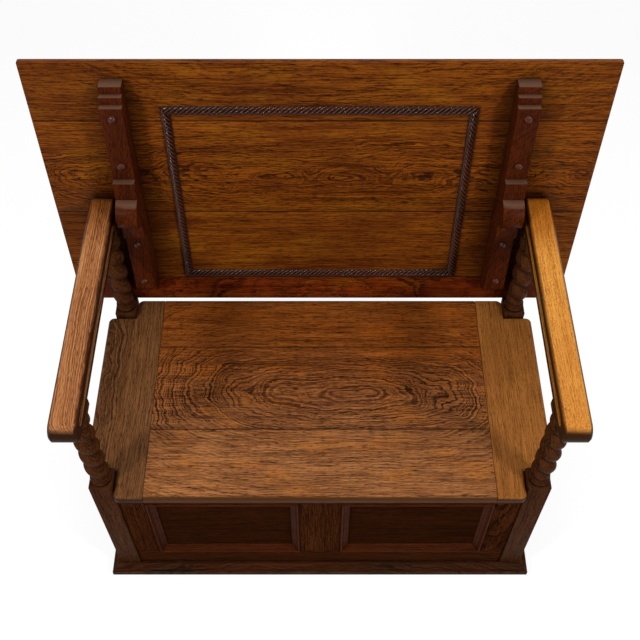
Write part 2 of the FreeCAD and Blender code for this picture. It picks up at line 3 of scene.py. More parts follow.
import bmesh
import bpy
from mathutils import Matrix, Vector


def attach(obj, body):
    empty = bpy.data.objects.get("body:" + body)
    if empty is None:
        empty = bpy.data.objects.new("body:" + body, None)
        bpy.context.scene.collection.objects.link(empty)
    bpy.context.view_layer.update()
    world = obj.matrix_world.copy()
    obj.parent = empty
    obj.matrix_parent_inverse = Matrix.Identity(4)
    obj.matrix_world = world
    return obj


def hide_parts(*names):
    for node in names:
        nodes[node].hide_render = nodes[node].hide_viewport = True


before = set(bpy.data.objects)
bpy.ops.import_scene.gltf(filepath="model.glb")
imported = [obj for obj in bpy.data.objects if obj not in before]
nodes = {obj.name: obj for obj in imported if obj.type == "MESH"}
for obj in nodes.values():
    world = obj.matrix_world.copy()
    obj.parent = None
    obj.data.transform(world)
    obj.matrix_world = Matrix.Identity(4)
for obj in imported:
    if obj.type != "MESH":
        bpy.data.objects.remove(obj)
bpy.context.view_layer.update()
print("frame loaded,", len(nodes), "nodes")


# small helpers for the node trees of the wood

def addNode(tree, kind, **settings):
    node = tree.nodes.new(kind)
    for key, value in settings.items():
        setattr(node, key, value)
    return node


def plug(tree, socket, value):
    if hasattr(value, "is_output"):
        tree.links.new(value, socket)
    else:
        socket.default_value = value


def calc(tree, operation, first, second=0.0, clamp=False):
    node = addNode(tree, "ShaderNodeMath", operation=operation, use_clamp=clamp)
    plug(tree, node.inputs[0], first)
    plug(tree, node.inputs[1], second)
    return node.outputs[0]


def between(tree, value, low, high, toLow=0.0, toHigh=1.0, smooth=False):
    node = addNode(tree, "ShaderNodeMapRange", clamp=True)
    node.interpolation_type = "SMOOTHSTEP" if smooth else "LINEAR"
    for index, item in enumerate((value, low, high, toLow, toHigh)):
        plug(tree, node.inputs[index], item)
    return node.outputs[0]


def mixColour(tree, amount, first, second, blend="MIX"):
    node = addNode(tree, "ShaderNodeMix", data_type="RGBA", blend_type=blend)
    plug(tree, node.inputs[0], amount)
    plug(tree, node.inputs[6], first)
    plug(tree, node.inputs[7], second)
    return node.outputs[2]


def ramp(tree, value, stops):
    node = addNode(tree, "ShaderNodeValToRGB")
    band = node.color_ramp
    while len(band.elements) < len(stops):
        band.elements.new(1.0)
    for element, (place, colour) in zip(band.elements, stops):
        element.position = place
        element.color = colour if hasattr(colour, "__len__") else (colour, colour, colour, 1.0)
    plug(tree, node.inputs[0], value)
    return node.outputs[0]


# noise drawn out along the grain; the two sizes are in millimetres
def fibre(tree, grainPoint, along, across, detail=1.0, roughness=0.5):
    scaled = addNode(tree, "ShaderNodeVectorMath", operation="MULTIPLY")
    tree.links.new(grainPoint, scaled.inputs[0])
    scaled.inputs[1].default_value = (1 / along, 1 / across, 1 / across)
    node = addNode(tree, "ShaderNodeTexNoise")
    tree.links.new(scaled.outputs[0], node.inputs["Vector"])
    node.inputs["Scale"].default_value = 1.0
    node.inputs["Detail"].default_value = detail
    node.inputs["Roughness"].default_value = roughness
    return node.outputs["Fac"]


# the same noise as a push to either side, in millimetres
def swing(tree, grainPoint, along, across, size, detail=1.0):
    level = calc(tree, "SUBTRACT", fibre(tree, grainPoint, along, across, detail), 0.5)
    return calc(tree, "MULTIPLY", level, size)


# a colour of three numbers up to 255, as Blender's linear colour
def linear(colour):
    return tuple(((c / 255 + 0.055) / 1.055) ** 2.4 if c > 10 else c / 255 / 12.92 for c in colour) + (1.0,)


# Oak. Every stick is cut out of the same sort of log: rings round a pith, pores, rays and stain.

oakBase = {
    "light": (150, 88, 36),      # summer wood between the rings
    "middle": (112, 58, 20),
    "dark": (52, 24, 9),         # open pores of the rings
    "stain": (92, 38, 14),       # redder patches of the old polish
    "stainAmount": 0.35,
    "gold": (186, 120, 36),      # patches where the polish is thin
    "goldAmount": 0.0,
    "grain": "x",
    "shift": (0.0, 0.0, 0.0),    # moves the board about in the log
    "pithAcross": 0.0,           # millimetres from the middle of the board
    "pithDepth": 45.0,
    "eye": 0.0,                  # where along the board the pith comes nearest
    "bow": 2500.0,               # radius in which it dives away on both sides of that
    "ringPitch": 4.6,
    "figure": 0.8,               # strength of the rings over the pith
    "plain": 0.3,                # and of the straight grain beside it
    "figureWidth": 70.0,
    "sway": 50.0,                # how far the pith wanders sideways
    "swell": 24.0,               # and up and down
    "swellLength": 120.0,        # within this length along the board
    "wave": 8.0,                 # wavy rings
    "ripple": 2.4,               # and their ragged edge
    "depth": 0.12,               # how dark the wood is before any grain
    "streaks": 0.6,
    "pores": 0.4,
    "rays": 0.0,
    "gloss": 0.42,               # roughness
    "shine": 0.3,                # specular level
    "relief": 0.00022,           # depth of the pores in metres
    "reliefStrength": 0.8,
    "seams": (),                 # where boards are glued side by side
    "edgeDark": 0.35,
    "sideShade": 0.0,             # painted shade: sides and ends darker than the lit top
    "side": None,                # colour of that painted shade, else that of the pores
    "sideShadeFrom": (0.66, 0.3),     # upward lean of the surface between which the painted shade comes in
    "polishAndSheen": None,              # from, to in metres of Y, colour and amount of thicker polish towards the back; the lighter front it leaves is painted sheen
    "ledgeHighlight": None,                # colour and amount of the painted highlight where a step faces up
    "paintedCornerShade": 0.45,               # painted shade in corners and recesses, and below how far it reaches in metres
    "paintedCornerShadeReach": 0.022,
}

# How long along the grain and how wide across it each sort of mark in oak is, in millimetres

oakMarks = {
    "sway": (300, 160),
    "swellWidth": 180,
    "wave": (58, 22),
    "ripple": (11, 3.4),
    "patch": (190, 70),
    "pore": (14, 1.0),
    "streak": (60, 1.5),
    "band": (240, 12.0),
    "ray": (4.0, 1.3),
    "thinPolish": (120, 55),
    "stain": (260, 120),
    "handled": (60, 45),
    "seam": (0.5, 2.2),          # half the joint's width, and where its shade ends
    "nextBoard": 731.0,          # how far each glued board is moved along in the log
    "edge": 3.5,                 # how far polish builds up from an edge
}
# darkness of the wood through one year
ringShape = [(0.0, 0.9), (0.08, 1.0), (0.24, 0.5), (0.48, 0.1), (0.9, 0.0), (1.0, 0.9)]


# millimetres along, across and into the board
def grainAxes(tree, look):
    place = addNode(tree, "ShaderNodeTexCoord").outputs["Object"]
    parts = addNode(tree, "ShaderNodeSeparateXYZ")
    tree.links.new(place, parts.inputs[0])
    order = {"x": (0, 1, 2), "y": (1, 0, 2), "z": (2, 0, 1), "xz": (0, 2, 1)}[look["grain"]]
    return [calc(tree, "MULTIPLY", parts.outputs[index], 1000.0) for index in order]


# dark early wood of the year rings, cut where the board's face meets them
def ringTone(tree, grainPoint, along, across, deep, look):
    sway = swing(tree, grainPoint, *oakMarks["sway"], look["sway"], 0.0)
    swell = swing(tree, grainPoint, look["swellLength"], oakMarks["swellWidth"], look["swell"], 1.0)
    wave = swing(tree, grainPoint, *oakMarks["wave"], look["wave"], 1.5)
    ripple = swing(tree, grainPoint, *oakMarks["ripple"], look["ripple"], 1.0)
    away = calc(tree, "SUBTRACT", along, look["eye"])
    dive = calc(tree, "DIVIDE", calc(tree, "MULTIPLY", away, away), look["bow"] * 2)
    sideways = calc(tree, "ADD", calc(tree, "SUBTRACT", across, look["pithAcross"] + look["shift"][1]), sway)
    inward = calc(tree, "ADD", calc(tree, "ADD", deep, look["pithDepth"]), calc(tree, "ADD", swell, dive))
    reach = calc(tree, "SQRT", calc(tree, "ADD", calc(tree, "MULTIPLY", sideways, sideways),
                                    calc(tree, "MULTIPLY", inward, inward)))
    reach = calc(tree, "ADD", calc(tree, "ADD", reach, wave), ripple)
    years = calc(tree, "DIVIDE", reach, look["ringPitch"])
    uneven = addNode(tree, "ShaderNodeTexNoise", noise_dimensions="1D")
    tree.links.new(calc(tree, "MULTIPLY", years, 0.45), uneven.inputs["W"])
    years = calc(tree, "ADD", years, calc(tree, "MULTIPLY", uneven.outputs["Fac"], 1.6))
    rings = ramp(tree, calc(tree, "FRACT", years), ringShape)
    width = look["figureWidth"]
    aside = calc(tree, "ABSOLUTE", sideways)
    overPith = between(tree, aside, width, width / 2, look["plain"], look["figure"], True)
    return calc(tree, "MULTIPLY", rings, overPith)


# the point in the log, its three parts, and the dark lines of the joints between glued boards
def logPoint(tree, look):
    along, across, deep = grainAxes(tree, look)
    boardNumber = 0.0
    seamLine = 0.0
    for seam in look["seams"]:
        boardNumber = calc(tree, "ADD", boardNumber, calc(tree, "GREATER_THAN", across, seam))
        gap = calc(tree, "ABSOLUTE", calc(tree, "SUBTRACT", across, seam))
        seamLine = calc(tree, "MAXIMUM", seamLine, between(tree, gap, *oakMarks["seam"], 0.85, 0.0))
    shiftAlong = look["shift"][0]
    if look["seams"]:
        shiftAlong = calc(tree, "ADD", calc(tree, "MULTIPLY", boardNumber, oakMarks["nextBoard"]), shiftAlong)
    across = calc(tree, "ADD", across, look["shift"][1])
    deep = calc(tree, "ADD", deep, look["shift"][2])
    joined = addNode(tree, "ShaderNodeCombineXYZ")
    tree.links.new(calc(tree, "ADD", along, shiftAlong), joined.inputs[0])
    tree.links.new(across, joined.inputs[1])
    tree.links.new(deep, joined.inputs[2])
    return joined.outputs[0], (along, across, deep), seamLine


# In the next functions a pair of numbers after a noise is its levels between which a mark comes in.

# darkness of the grain: rings, straight streaks and open pores, which sit mostly in the rings
def grainTone(tree, grainPoint, parts, patches, look):
    rings = calc(tree, "MULTIPLY", ringTone(tree, grainPoint, *parts, look),
                 between(tree, patches, 0.3, 0.65, 0.65, 1.15))
    poreNoise = fibre(tree, grainPoint, *oakMarks["pore"], 1.0)
    pore = between(tree, calc(tree, "ADD", poreNoise, calc(tree, "MULTIPLY", rings, 0.14)), 0.55, 0.7)
    streak = calc(tree, "ADD", swing(tree, grainPoint, *oakMarks["streak"], look["streaks"] * 1.7, 2.0),
                  swing(tree, grainPoint, *oakMarks["band"], look["streaks"] * 0.6, 1.0))
    broken = calc(tree, "MULTIPLY", rings, between(tree, poreNoise, 0.36, 0.6, 0.55, 1.1))
    tone = calc(tree, "ADD", calc(tree, "ADD", broken, streak), look["depth"])
    return calc(tree, "ADD", tone, calc(tree, "MULTIPLY", pore, look["pores"]), True), pore


# rays, thin polish, stain, and thicker polish towards the back, which leaves the front lighter as painted
# sheen
def polishStainAndSheen(tree, colour, grainPoint, tone, patches, look):
    if look["rays"]:
        ray = between(tree, fibre(tree, grainPoint, *oakMarks["ray"], 1.0), 0.5, 0.64, 0.0, look["rays"])
        colour = mixColour(tree, ray, colour, linear(look["gold"]))
    if look["goldAmount"]:
        thin = fibre(tree, grainPoint, *oakMarks["thinPolish"], 2.0)
        thin = between(tree, thin, 0.5, 0.68, 0.0, look["goldAmount"], True)
        thin = calc(tree, "MULTIPLY", thin, between(tree, tone, 0.2, 0.6, 1.0, 0.1))
        colour = mixColour(tree, thin, colour, linear(look["gold"]))
    stained = fibre(tree, grainPoint, *oakMarks["stain"], 3.0, 0.6)
    stained = between(tree, stained, 0.35, 0.7, 0.0, look["stainAmount"], True)
    colour = mixColour(tree, stained, colour, linear(look["stain"]))
    # darker, thicker polish towards the back; the lighter front it leaves is painted sheen
    if look["polishAndSheen"]:
        start, end, shade, amount = look["polishAndSheen"]
        place = addNode(tree, "ShaderNodeSeparateXYZ")
        tree.links.new(addNode(tree, "ShaderNodeTexCoord").outputs["Object"], place.inputs[0])
        drift = calc(tree, "MULTIPLY", calc(tree, "SUBTRACT", patches, 0.5), 0.12)
        backCoatAndSheen = between(tree, calc(tree, "ADD", place.outputs[1], drift), start, end, 0.0, amount, True)
        colour = mixColour(tree, backCoatAndSheen, colour, linear(shade), "MULTIPLY")
    return colour


# painted highlight on up-facing ledges and painted shade on sides, ends and undersides, by how far the
# surface faces up
def paintedFacingLight(tree, colour, look):
    facing = addNode(tree, "ShaderNodeSeparateXYZ")
    tree.links.new(addNode(tree, "ShaderNodeTexCoord").outputs["Normal"], facing.inputs[0])
    if look["ledgeHighlight"]:
        shade, amount = look["ledgeHighlight"]
        # painted highlight on ledges that face up
        litLedge = between(tree, facing.outputs[2], 0.8, 0.97, 0.0, amount, True)
        colour = mixColour(tree, litLedge, colour, linear(shade))
    if look["sideShade"]:
        # painted shade on faces that lean away from up
        side = between(tree, facing.outputs[2], *look["sideShadeFrom"], 0.0, look["sideShade"], True)
        colour = mixColour(tree, side, colour, linear(look["side"] or look["dark"]))
    return colour


# polish built up along the edges, and painted shade in the corners and recesses
def edgePolishAndCornerShade(tree, colour, patches, look):
    soft = addNode(tree, "ShaderNodeBevel", samples=4)
    soft.inputs["Radius"].default_value = oakMarks["edge"] / 1000
    bend = addNode(tree, "ShaderNodeVectorMath", operation="DOT_PRODUCT")
    tree.links.new(soft.outputs[0], bend.inputs[0])
    tree.links.new(addNode(tree, "ShaderNodeNewGeometry").outputs["Normal"], bend.inputs[1])
    edge = between(tree, bend.outputs["Value"], 0.995, 0.82, 0.0, look["edgeDark"])
    edge = calc(tree, "MULTIPLY", edge, between(tree, patches, 0.3, 0.6, 0.5, 1.0))
    # painted shade: the wood is darker where ambient occlusion finds a corner, crease or recess close by
    corner = addNode(tree, "ShaderNodeAmbientOcclusion", samples=6)
    corner.inputs["Distance"].default_value = look["paintedCornerShadeReach"]
    paintedCornerShade = between(tree, corner.outputs["AO"], 0.9, 0.35, 0.0, look["paintedCornerShade"])
    return mixColour(tree, calc(tree, "MAXIMUM", edge, paintedCornerShade), colour, linear(look["dark"]))


# roughness where hands and pores break the polish, and the relief of the pores
def finishSurface(tree, surface, grainPoint, tone, pore, look):
    handled = fibre(tree, grainPoint, *oakMarks["handled"], 3.0)
    rough = between(tree, handled, 0.3, 0.7, look["gloss"] - 0.05, look["gloss"] + 0.09)
    rough = calc(tree, "ADD", calc(tree, "MULTIPLY", pore, 0.18), rough)
    tree.links.new(rough, surface.inputs["Roughness"])
    depth = calc(tree, "ADD", calc(tree, "MULTIPLY", pore, 0.6), calc(tree, "MULTIPLY", tone, 0.5))
    relief = addNode(tree, "ShaderNodeBump")
    relief.inputs["Distance"].default_value = look["relief"]
    relief.inputs["Strength"].default_value = look["reliefStrength"]
    tree.links.new(calc(tree, "SUBTRACT", 1.0, depth), relief.inputs["Height"])
    tree.links.new(relief.outputs[0], surface.inputs["Normal"])


# the material of one kind of stick, with its changes to the look of plain oak
def oak(name, **changes):
    look = dict(oakBase, **changes)
    material = bpy.data.materials.new(name)
    material.use_nodes = True
    tree = material.node_tree
    tree.nodes.clear()
    grainPoint, parts, seamLine = logPoint(tree, look)
    patches = fibre(tree, grainPoint, *oakMarks["patch"], 2.0)
    tone, pore = grainTone(tree, grainPoint, parts, patches, look)
    stops = [(0.0, "light"), (0.4, "middle"), (1.0, "dark")]
    colour = ramp(tree, tone, [(place, linear(look[shade])) for place, shade in stops])
    colour = polishStainAndSheen(tree, colour, grainPoint, tone, patches, look)
    if look["seams"]:
        colour = mixColour(tree, seamLine, colour, linear(look["dark"]))
    colour = paintedFacingLight(tree, colour, look)
    colour = edgePolishAndCornerShade(tree, colour, patches, look)
    surface = addNode(tree, "ShaderNodeBsdfPrincipled")
    surface.inputs["Specular IOR Level"].default_value = look["shine"]
    tree.links.new(colour, surface.inputs["Base Color"])
    finishSurface(tree, surface, grainPoint, tone, pore, look)
    end = addNode(tree, "ShaderNodeOutputMaterial")
    tree.links.new(surface.outputs[0], end.inputs[0])
    return material


hingeLook = {"bare": (132, 126, 116), "rust": (74, 48, 32), "speckScale": 420.0}


def steel(name):
    material = bpy.data.materials.new(name)
    material.use_nodes = True
    tree = material.node_tree
    surface = tree.nodes["Principled BSDF"]
    place = addNode(tree, "ShaderNodeTexCoord").outputs["Object"]
    speck = addNode(tree, "ShaderNodeTexNoise")
    tree.links.new(place, speck.inputs["Vector"])
    speck.inputs["Scale"].default_value = hingeLook["speckScale"]
    speck.inputs["Detail"].default_value = 4.0
    rust = between(tree, speck.outputs["Fac"], 0.52, 0.68)
    colour = mixColour(tree, rust, linear(hingeLook["bare"]), linear(hingeLook["rust"]))
    tree.links.new(colour, surface.inputs["Base Color"])
    tree.links.new(between(tree, speck.outputs["Fac"], 0.3, 0.7, 0.3, 0.6), surface.inputs["Roughness"])
    surface.inputs["Metallic"].default_value = 1.0
    return material


def dress(material, *names):
    for name in names:
        item = nodes[name]
        item.data.materials.clear()
        item.data.materials.append(material)


# points closer than weld, in metres, are joined; edges that turn by more than angle, in degrees, are rounded
rounding = {"weld": 0.00002, "segments": 2, "angle": 40.0}


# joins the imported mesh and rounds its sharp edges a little, as a modifier
def softEdges(width, *names):
    for name in names:
        item = nodes[name]
        weld = item.modifiers.new("weld", "WELD")
        weld.merge_threshold = rounding["weld"]
        bevel = item.modifiers.new("softEdge", "BEVEL")
        bevel.width = width
        bevel.segments = rounding["segments"]
        bevel.limit_method = "ANGLE"
        bevel.angle_limit = math.radians(rounding["angle"])
        bevel.harden_normals = True


# Seat: a lid of three boards between two end boards with the grain the other way

seatLook = {
    "light": (172, 112, 64),
    "middle": (122, 74, 40),
    "dark": (34, 16, 8),
    "stain": (92, 50, 28),
    "gold": (190, 114, 42),
    "goldAmount": 0.5,
    "shift": (140.0, 0.0, -399.0),
    "seams": (-105.0, 98.0),
    "pithAcross": -16.0,
    "pithDepth": 10.0,
    "eye": 45.0,
    "bow": 520.0,
    "ringPitch": 6.4,
    "swell": 62.0,
    "swellLength": 150.0,
    "wave": 17.0,
    "ripple": 3.2,
    "figure": 0.86,
    "plain": 0.35,
    "figureWidth": 118.0,
    "depth": 0.18,
    "streaks": 1.25,
    "pores": 0.6,
    "gloss": 0.36,
    "shine": 0.03,
    # painted shade on the nosing and on every face that leans away from up, in this side colour
    "sideShade": 0.95,
    "side": (76, 44, 20),
    "sideShadeFrom": (0.96, 0.75),
    # thicker polish towards the back, leaving the front half lighter as painted sheen
    "polishAndSheen": (-0.16, 0.16, (232, 192, 108), 0.85),
}
# the end boards get painted shade on their sides and ends
endLook = {"grain": "y", "shine": 0.04, "gloss": 0.38, "sideShade": 0.9, "streaks": 1.1}
endLeftLook = {
    "light": (128, 84, 48),
    "middle": (90, 56, 30),
    "dark": (36, 19, 9),
    "stain": (74, 42, 20),
    "shift": (0.0, 410.0, -399.0),
    "pithAcross": -470.0,
    "plain": 0.35,
}
endRightLook = {
    "light": (164, 104, 50),
    "middle": (122, 72, 30),
    "dark": (48, 25, 9),
    "stain": (102, 54, 20),
    "shift": (300.0, -410.0, -399.0),
    "pithAcross": 560.0,
    "plain": 0.2,
    "rays": 0.35,
}
insideLook = {"light": (120, 80, 44), "middle": (88, 54, 28), "dark": (44, 25, 13)}
dress(oak("seatOak", **seatLook), "seat_lid")
dress(oak("seatEndLeftOak", **endLeftLook, **endLook), "seat_end_left")
dress(oak("seatEndRightOak", **endRightLook, **endLook), "seat_end_right")
dress(oak("battenOak", grain="y", **insideLook), "lid_battens")
softEdges(0.0007, "seat_lid", "seat_end_left", "seat_end_right", "lid_battens")
print("seat dressed")

# Tipping top: four boards

topLook = {
    "light": (138, 74, 16),
    "middle": (90, 42, 8),
    "dark": (30, 10, 3),
    "stain": (78, 30, 8),
    "gold": (156, 98, 16),
    "goldAmount": 0.3,
    "stainAmount": 0.4,
    "streaks": 1.25,
    "pores": 0.6,
    "gloss": 0.4,
    "shine": 0.04,
    # painted shade in the corners: dark bands beside the bearers and round the rope
    "paintedCornerShade": 0.85,
    "paintedCornerShadeReach": 0.05,
}
lowJoint = 478.7                 # heights of the joints between the planks
middleJoint = 671.5
highJoint = 897.7
plankLooks = {
    "top_plank_rim": {
        "shift": (500.0, 0.0, 0.0),
        "pithAcross": 1160.0,
        "plain": 0.3,
        "seams": (highJoint,),
    },
    "top_plank_upper": {
        "light": (150, 80, 18),
        "middle": (98, 47, 9),
        "shift": (0.0, 0.0, -253.0),
        "pithAcross": 770.0,
        "pithDepth": 12.0,
        "bow": 4000.0,
        "ringPitch": 5.2,
        "swell": 80.0,
        "wave": 17.0,
        "ripple": 3.0,
        "figure": 0.72,
        "figureWidth": 110.0,
        "plain": 0.25,
        "seams": (middleJoint, highJoint),
    },
    "top_plank_lower": {
        "shift": (900.0, 0.0, 0.0),
        "pithAcross": 280.0,
        "plain": 0.3,
        "seams": (lowJoint, middleJoint),
    },
    "top_plank_front": {
        "light": (134, 56, 14),
        "middle": (88, 32, 8),
        "stain": (80, 22, 7),
        "shift": (1500.0, 0.0, 0.0),
        "pithAcross": 440.0,
        "figure": 0.7,
        "plain": 0.45,
        "seams": (lowJoint,),
    },
}
for name, plankLook in plankLooks.items():
    dress(oak(name.replace("top_plank_", "top") + "Oak", grain="xz", **dict(topLook, **plankLook)), name)
softEdges(0.0006, *plankLooks)

bearerLook = {
    "light": (90, 37, 11),
    "middle": (58, 22, 7),
    "dark": (22, 7, 3),
    "stain": (50, 15, 5),
    "pithAcross": 560.0,
    "plain": 0.35,
    "figure": 0.35,
    "streaks": 0.8,
    "gloss": 0.28,
    "shine": 0.03,
    "edgeDark": 0.2,
    # painted highlight on the steps that face up
    "ledgeHighlight": ((106, 76, 60), 0.8),
}
dress(oak("bearerOak", grain="z", **bearerLook), "bearer_left", "bearer_right", "pivot_pins")
softEdges(0.0009, "bearer_left", "bearer_right")
print("top dressed")

# Arms: the left one with open straight grain, the right one quarter sawn and golden

armLook = {
    "grain": "y",
    "shine": 0.05,
    "gloss": 0.34,
    # painted shade on the sides of the arms and on the lower part of their rounded ends
    "side": (36, 15, 5),
    "sideShade": 0.97,
    "sideShadeFrom": (0.98, 0.55),
    "edgeDark": 0.15,
    "bow": 90000.0,
}
armLeftLook = {
    "light": (198, 138, 88),
    "middle": (146, 90, 50),
    "dark": (84, 44, 22),
    "stain": (126, 70, 34),
    "pithAcross": -1400.0,
    "pithDepth": 700.0,
    "ringPitch": 2.4,
    "plain": 0.8,
    "figure": 0.8,
    "wave": 2.5,
    "ripple": 0.9,
    "sway": 10.0,
    "swell": 12.0,
    "streaks": 0.5,
    # thicker polish towards the back, leaving the front lighter as painted sheen
    "polishAndSheen": (0.05, 0.24, (198, 168, 118), 0.9),
}
armRightLook = {
    "light": (218, 148, 66),
    "middle": (178, 110, 42),
    "dark": (96, 50, 16),
    "stain": (160, 88, 28),
    "gold": (236, 168, 70),
    "shift": (200.0, 0.0, 0.0),
    "pithAcross": 1540.0,
    "plain": 0.25,
    "rays": 0.6,
    "wave": 3.0,
    "streaks": 0.8,
    # thicker polish towards the back, leaving the front lighter as painted sheen
    "polishAndSheen": (0.05, 0.24, (208, 176, 120), 0.9),
}
dress(oak("armLeftOak", **armLook, **armLeftLook), "arm_left")
dress(oak("armRightOak", **armLook, **armRightLook), "arm_right")
softEdges(0.0012, "arm_left", "arm_right")
print("arms dressed")

# Chest and plinth

chestLook = {
    "light": (88, 46, 22),
    "middle": (55, 27, 12),
    "dark": (20, 9, 4),
    "stain": (46, 21, 9),
    "figure": 0.5,
    "plain": 0.35,
    "shine": 0.0,
    # painted shade in the corners of the frames and panels
    "paintedCornerShade": 0.6,
}
panelLook = {
    "light": (66, 33, 14),
    "middle": (42, 19, 7),
    "dark": (18, 7, 2),
    "stain": (38, 15, 5),
    "figure": 0.25,
    "plain": 0.25,
    "shine": 0.0,
    # painted shade in the corners round the panels
    "paintedCornerShade": 0.6,
}
mouldingLook = {
    "light": (80, 38, 17),
    "middle": (54, 24, 10),
    "dark": (22, 8, 3),
    "figure": 0.2,
    "plain": 0.2,
    "gloss": 0.3,
    "shine": 0.01,
}
plinthLook = {
    "light": (72, 46, 27),
    "middle": (46, 28, 15),
    "dark": (18, 9, 5),
    "gloss": 0.34,
    "shine": 0.01,
    "edgeDark": 0.1,
}
floorLook = {"light": (120, 84, 50), "middle": (92, 60, 34), "dark": (50, 30, 16)}
bothEnds = ("_left", "_right")
dress(oak("railOak", grain="xz", pithAcross=160.0, **chestLook),
      "front_bottom_rail", "front_top_rail", "back_bottom_rail", "back_top_rail")
dress(oak("stileOak", grain="z", pithAcross=340.0, streaks=0.9, **chestLook), "front_muntin", "back_muntin",
      *["front_stile" + end for end in bothEnds], *["side_stiles" + end for end in bothEnds])
dress(oak("sideRailOak", grain="y", pithAcross=500.0, **chestLook),
      *["side_bottom_rail" + end for end in bothEnds], *["side_top_rail" + end for end in bothEnds])
dress(oak("panelOak", grain="xz", pithAcross=500.0, **panelLook),
      *["front_panel" + end for end in bothEnds], *["back_panel" + end for end in bothEnds])
dress(oak("sidePanelOak", grain="y", pithAcross=620.0, **panelLook),
      *["side_panel" + end for end in bothEnds])
dress(oak("mouldingOak", grain="xz", **mouldingLook),
      *["front_panel_moulding" + end for end in bothEnds], *["side_panel_moulding" + end for end in bothEnds])
dress(oak("plinthOak", grain="xz", **plinthLook), "plinth_front")
dress(oak("plinthSideOak", grain="y", **plinthLook), *["plinth_side" + end for end in bothEnds])
dress(oak("floorOak", grain="xz", **floorLook), "chest_floor", "floor_cleat_front", "floor_cleat_back")
chestStarts = ("front_", "side_", "back_", "plinth", "floor_cleat", "chest_floor")
softEdges(0.0008, *[name for name in nodes if name.startswith(chestStarts) and "post" not in name])
dress(steel("hingeSteel"), "hinge_leaves_fixed", "hinge_leaves_lid", "hinge_pins")
print("chest dressed")


# edges that turn by more than this many degrees stay sharp
ringSharp = 42.0
pegSharp = 50.0


# a closed mesh made of rings of points, each ring after the last
def ringMesh(name, rings):
    build = bmesh.new()
    rows = [[build.verts.new(point) for point in ring] for ring in rings]
    count = len(rows[0])
    for low, high in zip(rows, rows[1:]):
        for k in range(count):
            after = (k + 1) % count
            build.faces.new((low[k], low[after], high[after], high[k]))
    build.faces.new(list(reversed(rows[0])))
    build.faces.new(rows[-1])
    mesh = bpy.data.meshes.new(name)
    build.to_mesh(mesh)
    build.free()
    mesh.shade_smooth()
    mesh.set_sharp_from_angle(angle=math.radians(ringSharp))
    piece = bpy.data.objects.new(name, mesh)
    bpy.context.scene.collection.objects.link(piece)
    return piece


# Posts, in millimetres: square in the chest, two beads, a left-handed twist, a collar and a short block

post = {
    "half": 22.75,               # half the width of the square parts
    "cornerRound": 1.4,
    "cornerSteps": 4,
    "twistStart": 432.0,         # lowest ring of points in the twist
    "twistBottom": 429.0,        # between these heights it fades in and out
    "twistTop": 653.0,
    "pitch": 48.0,
    "crest": 22.4,
    "hollow": 13.0,
    "end": 16.5,                 # radius of the plain ends of the twist
    "fadeIn": 24.0,
    "fadeOut": 14.0,
    "fullness": 0.42,            # below 1 the strand is full and its groove narrow
    "sides": 96,
    "rowHeight": 1.6,
}
# heights, and how much narrower than half the width: the foot, the shoulder and the block under the arm
postFoot = ((0.0, 0.8), (0.8, 0.0), (411.0, 0.0), (412.1, 0.35), (413.0, 1.6))
postBlock = ((659.0, 1.4), (660.2, 0.2), (661.0, 0.0), (676.0, 0.0))
# heights and radii of the turned neck, its two beads and the collar
postNeck = ((413.0, 18.2), (413.3, 17.2), (415.6, 16.9))
postBeads = ((416.0, 425.0, 17.2, 20.9, 10), (425.2, 430.6, 17.0, 19.6, 8))
postCove = (431.0, 16.8)
postCollar = ((653.2, 17.4), (653.8, 19.4), (655.0, 20.6), (656.4, 20.6), (657.8, 19.6), (658.6, 18.6))
# middle in X and Y, and a height at which the crest of the twist points to +X
postPlan = {
    "front_post_right": (430.25, 22.75, 471.0),
    "front_post_left": (-430.25, 22.75, 498.5),
    "rear_post_right": (430.25, 445.25, 462.0),
    "rear_post_left": (-430.25, 445.25, 486.0),
}
middleY = 244.475                # the plans count Y from the front of the posts, this far before the origin


# a square with rounded corners, its points numbered as those of a round ring
def squareRing(height, half, corner):
    perSide = post["sides"] // 4
    steps = post["cornerSteps"]
    points = []
    for side in range(4):
        turn = math.pi / 2 * side
        across, up = math.cos(turn), math.sin(turn)
        for k in range(perSide):
            if k <= steps:
                around = math.pi / 2 * k / steps
                x = half - corner + corner * math.cos(around)
                y = half - corner + corner * math.sin(around)
            else:
                share = (k - steps) / (perSide - steps)
                x = (half - corner) * (1 - 2 * share)
                y = half
            points.append((x * across - y * up, x * up + y * across, height))
    lead = (perSide - steps) // 2
    return points[-lead:] + points[:-lead]


def roundRing(height, radius, phase):
    sides = post["sides"]
    points = []
    for k in range(sides):
        angle = 2 * math.pi * k / sides + phase
        reach = radius(angle) if callable(radius) else radius
        points.append((reach * math.cos(angle), reach * math.sin(angle), height))
    return points


def twistRadius(height, crestHeight):
    turn = -2 * math.pi * (height - crestHeight) / post["pitch"]
    fromBottom = (height - post["twistBottom"]) / post["fadeIn"]
    fromTop = (post["twistTop"] - height) / post["fadeOut"]
    share = max(0.0, min(1.0, fromBottom, fromTop))
    fade = share * share * (3 - 2 * share)

    def radius(angle):
        bulge = max(0.0, (1 + math.cos(angle - turn)) / 2) ** post["fullness"]
        full = post["hollow"] + (post["crest"] - post["hollow"]) * bulge
        return post["end"] + (full - post["end"]) * fade
    return radius


# heights and radii up a rounded bead
def bead(low, high, inner, outer, steps):
    middle = (low + high) / 2
    rows = []
    for k in range(steps + 1):
        around = math.pi * (k / steps - 0.5)
        height = middle + (high - low) / 2 * math.sin(around)
        rows.append((height, inner + (outer - inner) * math.cos(around)))
    return rows


